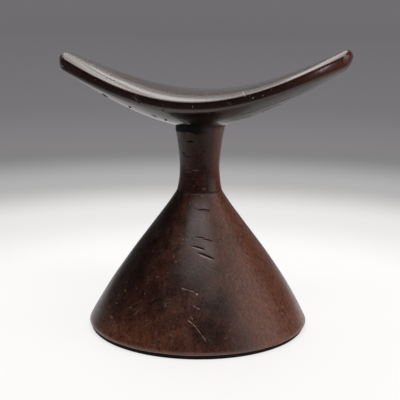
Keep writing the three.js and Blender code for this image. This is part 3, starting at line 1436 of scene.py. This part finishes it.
CRESCENT_MARKS = [
    Mark((27.2, -18.5, 141.2), (30, -25.9, 139.6), 1.3, 0.4, bare=0.6),
    Mark((33.6, -24.2, 139.3), (34.2, -24.2, 138.5), 1.1, 0.3, Shape.PIT, bare=0.4),
    Mark((39.1, -23.2, 140.6), (39.1, -23.2, 140.2), 0.8, 0.2, Shape.PIT, bare=0.35),
    Mark((-32.6, -24.6, 137.8), (-31.2, -24.8, 135.6), 2.2, 0.9, Shape.PIT, grime=1.0),
    Mark((-33.6, -24.3, 137.2), (-33.6, -24.3, 137.2), 1.3, 0.6, Shape.PIT, grime=1.0),
    Mark((-30.4, -24.9, 134.6), (-30.4, -24.9, 134.6), 1.5, 0.6, Shape.PIT, grime=1.0),
    Mark((-38.3, -17.2, 131.4), (-37.2, -17.2, 130.6), 1.7, 0.8, Shape.PIT, grime=1.0, lip=0.5),
    Mark((-16.4, -25.6, 131.2), (-16.2, -25.2, 130.2), 1.2, 0.5, Shape.PIT, grime=0.9),
    Mark((-17.2, -17.7, 124.8), (-16.2, -17.4, 124.1), 1.6, 0.8, Shape.PIT, grime=1.0, lip=0.5),
    Mark((-55.2, -14.3, 138), (-51.4, -14.2, 135.4), 1.3, 0.7, Shape.SLICE, grime=0.9, lip=0.6),
    Mark((-7.6, -20.4, 125), (-3.4, -19, 123.4), 1.8, 0.6, Shape.SLICE, grime=0.9, lip=0.5),
    Mark((-6.2, -18, 123.2), (-2.6, -17.6, 122.4), 1.5, 0.55, Shape.SLICE, grime=0.9, lip=0.5),
    Mark((-23.8, -19.6, 127.6), (-21.5, -17.2, 125.3), 0.7, 0.2, lip=0.5),
    Mark((-25.4, -18.4, 127.2), (-22.6, -16.4, 125.4), 0.6, 0.2, lip=0.5),
    Mark((1.1, -27.5, 134), (0.7, -27.5, 132.4), 0.5, 0.15, bare=0.45),
    Mark((4.3, -26.6, 131.1), (4.3, -26.6, 131.1), 0.7, 0.15, Shape.PIT, bare=0.7),
    Mark((-67, -8.6, 152.6), (-63.8, -7.6, 150.8), 1.2, 0.12, bare=0.25),
    Mark((-65.4, -5.2, 151.9), (-63.2, -6.6, 150.7), 0.7, 0.1, bare=0.25),
    Mark((-55.4, -9.6, 148.1), (-52, -8.2, 146.9), 0.6, 0.1, bare=0.25),
    Mark((-80.6, -9, 154.4), (-80.6, -9, 154.4), 3.6, 0.9, Shape.PIT, grime=1.0, lip=0.6),
    Mark((-80.2, -8.6, 154), (-80.2, -8.6, 154), 1.0, 0.3, Shape.PIT, bare=0.6),
]

NECK_MARKS = [
    Mark((-5.6, -12.1, 111.3), (-1.6, -13.2, 111.5), 1.0, 0.55, Shape.SLICE, grime=1.0),
    Mark((-10.2, -8, 103.9), (-6.6, -10.9, 103.6), 0.8, 0.2, Shape.SLICE, grime=0.4, lip=0.4),
    Mark((-9.2, -8.8, 102.6), (-3, -11.9, 102.2), 0.7, 0.16, Shape.SLICE, grime=0.4, lip=0.4),
    Mark((-8.3, -9.1, 97.4), (-3.4, -11.2, 97.8), 0.6, 0.16, bare=0.12, lip=0.5),
    Mark((-8.4, -9, 95.4), (-2.8, -11.3, 95.6), 0.6, 0.16, bare=0.12, lip=0.5),
    Mark((-2.6, -11.4, 94.8), (1.2, -11.4, 94.4), 0.6, 0.16, bare=0.12, lip=0.5),
    Mark((-7.6, -9.4, 93.4), (-3, -11.2, 93.3), 0.6, 0.16, bare=0.14, lip=0.5),
    Mark((-12.2, -7.2, 112.4), (-11.8, -7.3, 109), 1.1, 0.4, grime=0.8),
    Mark((-11.9, -6.8, 107.6), (-11.6, -6.9, 105.6), 0.9, 0.35, grime=0.7),
    Mark((2.6, -11.6, 84), (5.4, -10.8, 84.2), 0.6, 0.16, bare=0.1, lip=0.4),
]

# A place and a radius in millimetres, and how dark the smudge is.
CONE_SMUDGES = [
    ((21, -47, 25), 16, 0.6),
    ((17, -56, 13), 15, 0.65),
    ((8, -40, 40), 12, 0.5),
    ((-2, -42, 40), 13, 0.55),
    ((-14, -46, 28), 14, 0.45),
    ((14, -50, 30), 10, 0.4),
    ((-38, -40, 19), 13, 0.5),
    ((-54, -30, 10), 16, 0.6),
    ((2, -61, 5), 9, 0.35),
    ((34, -51, 8), 14, 0.4),
    ((24, -20, 56), 9, 0.25),
]

CONE_MARKS = [
    Mark((-36.4, -36.6, 28.4), (-35.8, -36.8, 27.6), 0.8, 0.15, Shape.PIT, bare=0.7),
    Mark((-40.6, -38.2, 20.8), (-39.8, -38.6, 20), 0.7, 0.15, Shape.PIT, bare=0.5),
    Mark((-45.8, -35.4, 17.4), (-45.4, -35.6, 16.4), 0.7, 0.15, Shape.PIT, bare=0.5),
    Mark((-30.2, -45.6, 21.4), (-28.8, -46.4, 20.8), 0.6, 0.12, bare=0.35),
    Mark((-43.6, -41.4, 13.4), (-41.2, -43.6, 13.2), 2.0, 0.12, bare=0.16),
    Mark((-31.6, -53.2, 8.6), (-22.4, -57.6, 6.4), 1.2, 0.35, Shape.SLICE, grime=0.8),
    Mark((-22.4, -57.6, 6.4), (-8.4, -61, 5.8), 1.1, 0.3, Shape.SLICE, grime=0.7),
    Mark((-12.6, -58.2, 10.6), (-10.8, -58, 12.4), 0.6, 0.12, bare=0.25),
    Mark((6.4, -53.6, 22), (8.2, -54.2, 19.4), 0.6, 0.1, bare=0.25),
    Mark((1.6, -17.9, 73.4), (9, -16.1, 72.5), 1.4, 0.6, Shape.SLICE, grime=1.0, bare=0.25),
    Mark((3, -27.9, 59.8), (8.2, -27.2, 59), 1.2, 0.5, Shape.SLICE, grime=1.0, bare=0.35),
    Mark((7.2, -27.8, 58.8), (13.4, -26.3, 57.3), 1.3, 0.5, Shape.SLICE, grime=1.0, bare=0.4),
    Mark((1.2, -31.4, 55.2), (9.2, -31.2, 53.6), 1.7, 0.6, Shape.SLICE, grime=1.0, bare=0.75),
    Mark((5.2, -33.3, 51.9), (15.2, -32.8, 48.4), 2.2, 0.7, Shape.SLICE, grime=1.0, bare=0.75),
    *hairline(
        [(-2.9, -15.9, 77), (-2.3, -16.6, 75.4), (-0.8, -17.2, 73.9), (1.4, -17.9, 73.3)], 0.8, 0.35, 0.2
    ),
    *hairline([(-0.8, -46, 35.2), (3.4, -46.1, 34), (7.6, -46.3, 33.2)], 0.4, 0.12, 0.55),
    Mark((8, -46.4, 32.6), (8.6, -46.6, 32), 1.1, 0.25, Shape.PIT, bare=1.0),
    *hairline([(6.8, -50.4, 26.9), (9, -50.5, 25.9), (11.2, -50.7, 25)], 0.5, 0.12, 0.4),
    *hairline([(5.2, -55, 19.9), (8, -55.5, 18.2), (10.4, -56.2, 16.4)], 0.5, 0.14, 0.6),
    *hairline([(10.4, -56.2, 16.4), (13.4, -57.3, 13), (16.2, -58.3, 9.8)], 0.4, 0.12, 0.45),
]


# ---- Light, stage and camera -------------------------------------------------------------------------


@dataclass(frozen=True)
class Softbox:
    """A rectangular studio light aimed at the headrest."""

    name: str
    place: Place
    aim: Place
    width: float
    length: float
    radiance: float
    colour: Colour = (1.0, 1.0, 1.0)

    def set_up(self) -> None:
        """Add the light to the scene."""
        data = bpy.data.lights.new(self.name, "AREA")
        data.shape = "RECTANGLE"
        data.size, data.size_y = self.width, self.length
        data.energy = self.radiance * math.pi * self.width * self.length
        data.color = self.colour
        light = bpy.data.objects.new(self.name, data)
        light.location = self.place
        light.rotation_euler = (Vector(self.aim) - Vector(self.place)).to_track_quat("-Z", "Y").to_euler()
        light.visible_camera = False
        bpy.context.scene.collection.objects.link(light)


@dataclass(frozen=True)
class Studio:
    """A pale floor with painted light that falls off to grey, with soft light from above and from the
    right.

    The painted light falloff pairs a distance from the headrest with the share of the floor's near
    tone that is left there, and the floor is painted darker in front as painted shade. Glow is the
    share of the floor's tone that is its own light, so that shadows stay soft.
    """

    floor_half: float = 30.0
    near_tone: float = 0.9
    painted_light_falloff: tuple[tuple[float, float], ...] = (
        (0.16, 1.0),
        (0.28, 0.84),
        (0.41, 0.46),
        (0.57, 0.236),
        (1.0, 0.2),
        (4.0, 0.225),
    )
    front_edge: tuple[float, float] = (0.13, 0.26)
    front_shade_tone: float = 0.1
    glow: float = 0.72
    glow_strength: float = 1.07
    room_tone: Colour = (0.16, 0.16, 0.17)
    room_light: float = 0.2
    lights: tuple[Softbox, ...] = (
        Softbox(
            "overhead_bank",
            place=(-0.12, 0.48, 1.15),
            aim=(-0.12, 0.48, 0.0),
            width=0.95,
            length=1.42,
            radiance=3.0,
            colour=(1.0, 0.96, 0.94),
        ),
        Softbox(
            "front_bank",
            place=(0.12, -0.41, 0.95),
            aim=(0.12, -0.41, 0.0),
            width=0.8,
            length=0.36,
            radiance=5.4,
            colour=(1.0, 0.96, 0.945),
        ),
        Softbox(
            "mid_bank",
            place=(-0.63, 1.74, 1.0),
            aim=(0.0, 0.0, 0.14),
            width=1.5,
            length=0.36,
            radiance=0.6,
            colour=(1.0, 0.97, 0.96),
        ),
        Softbox(
            "back_bank",
            place=(-0.74, 1.59, 1.32),
            aim=(0.0, 0.0, 0.14),
            width=1.5,
            length=0.28,
            radiance=2.8,
            colour=(1.0, 0.97, 0.96),
        ),
        Softbox(
            "backdrop",
            place=(-0.2, 2.2, 0.5),
            aim=(0.0, 0.0, 0.14),
            width=3.4,
            length=0.75,
            radiance=0.2,
        ),
        Softbox(
            "right_bank",
            place=(1.25, -0.1, 0.65),
            aim=(0.0, 0.0, 0.08),
            width=1.3,
            length=1.3,
            radiance=1.6,
            colour=(1.0, 0.93, 0.88),
        ),
        Softbox(
            "small_accent",
            place=(0.667, -0.824, 0.08),
            aim=(0.0, 0.0, 0.09),
            width=0.03,
            length=0.06,
            radiance=24.0,
            colour=(0.85, 0.8, 1.0),
        ),
    )

    def floor_material(self) -> bpy.types.Material:
        """Make a matt floor with painted light, white about the headrest, grey further off and darker in
        front, that glows a little.

        Returns:
            The material, which is clear from below.
        """
        material = bpy.data.materials.new("studio_floor")
        material.use_nodes = True
        wiring = Wiring(material.node_tree)
        wiring.tree.nodes.clear()
        place = wiring.node("ShaderNodeTexCoord").outputs["Object"]
        reach = wiring.node("ShaderNodeVectorMath", {0: place}, operation="LENGTH").outputs["Value"]
        # painted light: the floor's tone falls from white near the headrest to grey further off
        tone = self.near_tone
        for (near, near_tone), (far, far_tone) in pairwise(self.painted_light_falloff):
            tone = wiring.math("MULTIPLY", tone, wiring.band(reach, near, far, 1, far_tone / near_tone))
        # painted shade: the floor darker in front of the headrest
        back = wiring.node("ShaderNodeSeparateXYZ", {0: place}).outputs["Y"]
        front = wiring.math("MULTIPLY", back, -1)
        front_shade_tone = wiring.band(front, *self.front_edge, 1, self.front_shade_tone)
        tone = wiring.math("MINIMUM", tone, front_shade_tone)
        green = wiring.math("MULTIPLY", tone, wiring.band(reach, 0.3, 1.0, 1, 0.965))
        blue = wiring.math("MULTIPLY", tone, wiring.band(reach, 0.3, 1.0, 1, 1.02))
        colour = wiring.node("ShaderNodeCombineColor", {0: tone, 1: green, 2: blue}).outputs[0]
        glow = wiring.node("ShaderNodeEmission", {"Color": colour, "Strength": self.glow_strength})
        matt = wiring.node("ShaderNodeBsdfDiffuse", {"Color": colour})
        mixed = wiring.node("ShaderNodeMixShader", {0: self.glow, 1: matt.outputs[0], 2: glow.outputs[0]})
        below = wiring.node("ShaderNodeNewGeometry").outputs["Backfacing"]
        clear = wiring.node("ShaderNodeBsdfTransparent")
        seen = wiring.node("ShaderNodeMixShader", {0: below, 1: mixed.outputs[0], 2: clear.outputs[0]})
        wiring.node("ShaderNodeOutputMaterial", {"Surface": seen.outputs[0]})
        return material

    def set_up(self) -> None:
        """Add the floor, the room's faint light and the softboxes."""
        bpy.ops.object.select_all(action="DESELECT")
        bpy.ops.mesh.primitive_plane_add(size=self.floor_half * 2, location=(0, 0, -0.02 * MM))
        floor = bpy.context.object
        floor.name = "floor"
        floor.data.materials.append(self.floor_material())
        world = bpy.data.worlds.new("dim_room")
        world.use_nodes = True
        backing = world.node_tree.nodes["Background"]
        backing.inputs["Color"].default_value = opaque(self.room_tone)
        backing.inputs["Strength"].default_value = self.room_light
        bpy.context.scene.world = world
        bpy.context.scene.view_settings.view_transform = "Standard"
        for light in self.lights:
            light.set_up()


@dataclass(frozen=True)
class Viewpoint:
    """Where the camera stands: a little above the headrest, and to its right.

    Bearing, down and roll are turns, sideways and height shift the camera before the bearing turns
    it, and the lens and the sensor are in millimetres.
    """

    bearing: float = math.radians(12.68)
    distance: float = 600 * MM
    sideways: float = -0.74 * MM
    height: float = 213.6 * MM
    down: float = math.radians(13.04)
    roll: float = math.radians(0.4)
    lens: float = 94.6
    sensor: float = 36

    def set_up(self) -> None:
        """Add the camera and make it the scene's own."""
        data = bpy.data.cameras.new("camera")
        data.sensor_width = self.sensor
        data.lens = self.lens
        camera = bpy.data.objects.new("camera", data)
        turned = Matrix.Rotation(self.bearing, 4, "Z")
        place = turned @ Vector((self.sideways, -self.distance, self.height))
        tipped = Matrix.Rotation(math.pi / 2 - self.down, 4, "X") @ Matrix.Rotation(self.roll, 4, "Z")
        camera.matrix_world = Matrix.Translation(place) @ turned @ tipped
        bpy.context.scene.collection.objects.link(camera)
        bpy.context.scene.camera = camera


def main() -> None:
    """Build the headrest piece by piece, then the stage, the light and the camera."""
    logging.basicConfig(level=logging.INFO, format="%(name)s: %(message)s")
    groups = {"mottle": mottle_group(), "grain": grain_group(), "fleck": fleck_group()}
    crescent, neck, cone, foot = Crescent(), Neck(), ConeBase(), FootRim()
    crescent_piece = crescent.build()
    neck_piece = neck.build(crescent_piece)
    cone_piece = cone.build()
    foot_piece = foot.build()
    for node, maker, piece in (
        ("rest", crescent, crescent_piece),
        ("neck", neck, neck_piece),
        ("cone_base", cone, cone_piece),
        ("foot_rim", foot, foot_piece),
    ):
        maker.wear(piece)
        dress(piece, FINISHES[node], groups, node)
    Studio().set_up()
    Viewpoint().set_up()


if __name__ == "__main__":
    main()
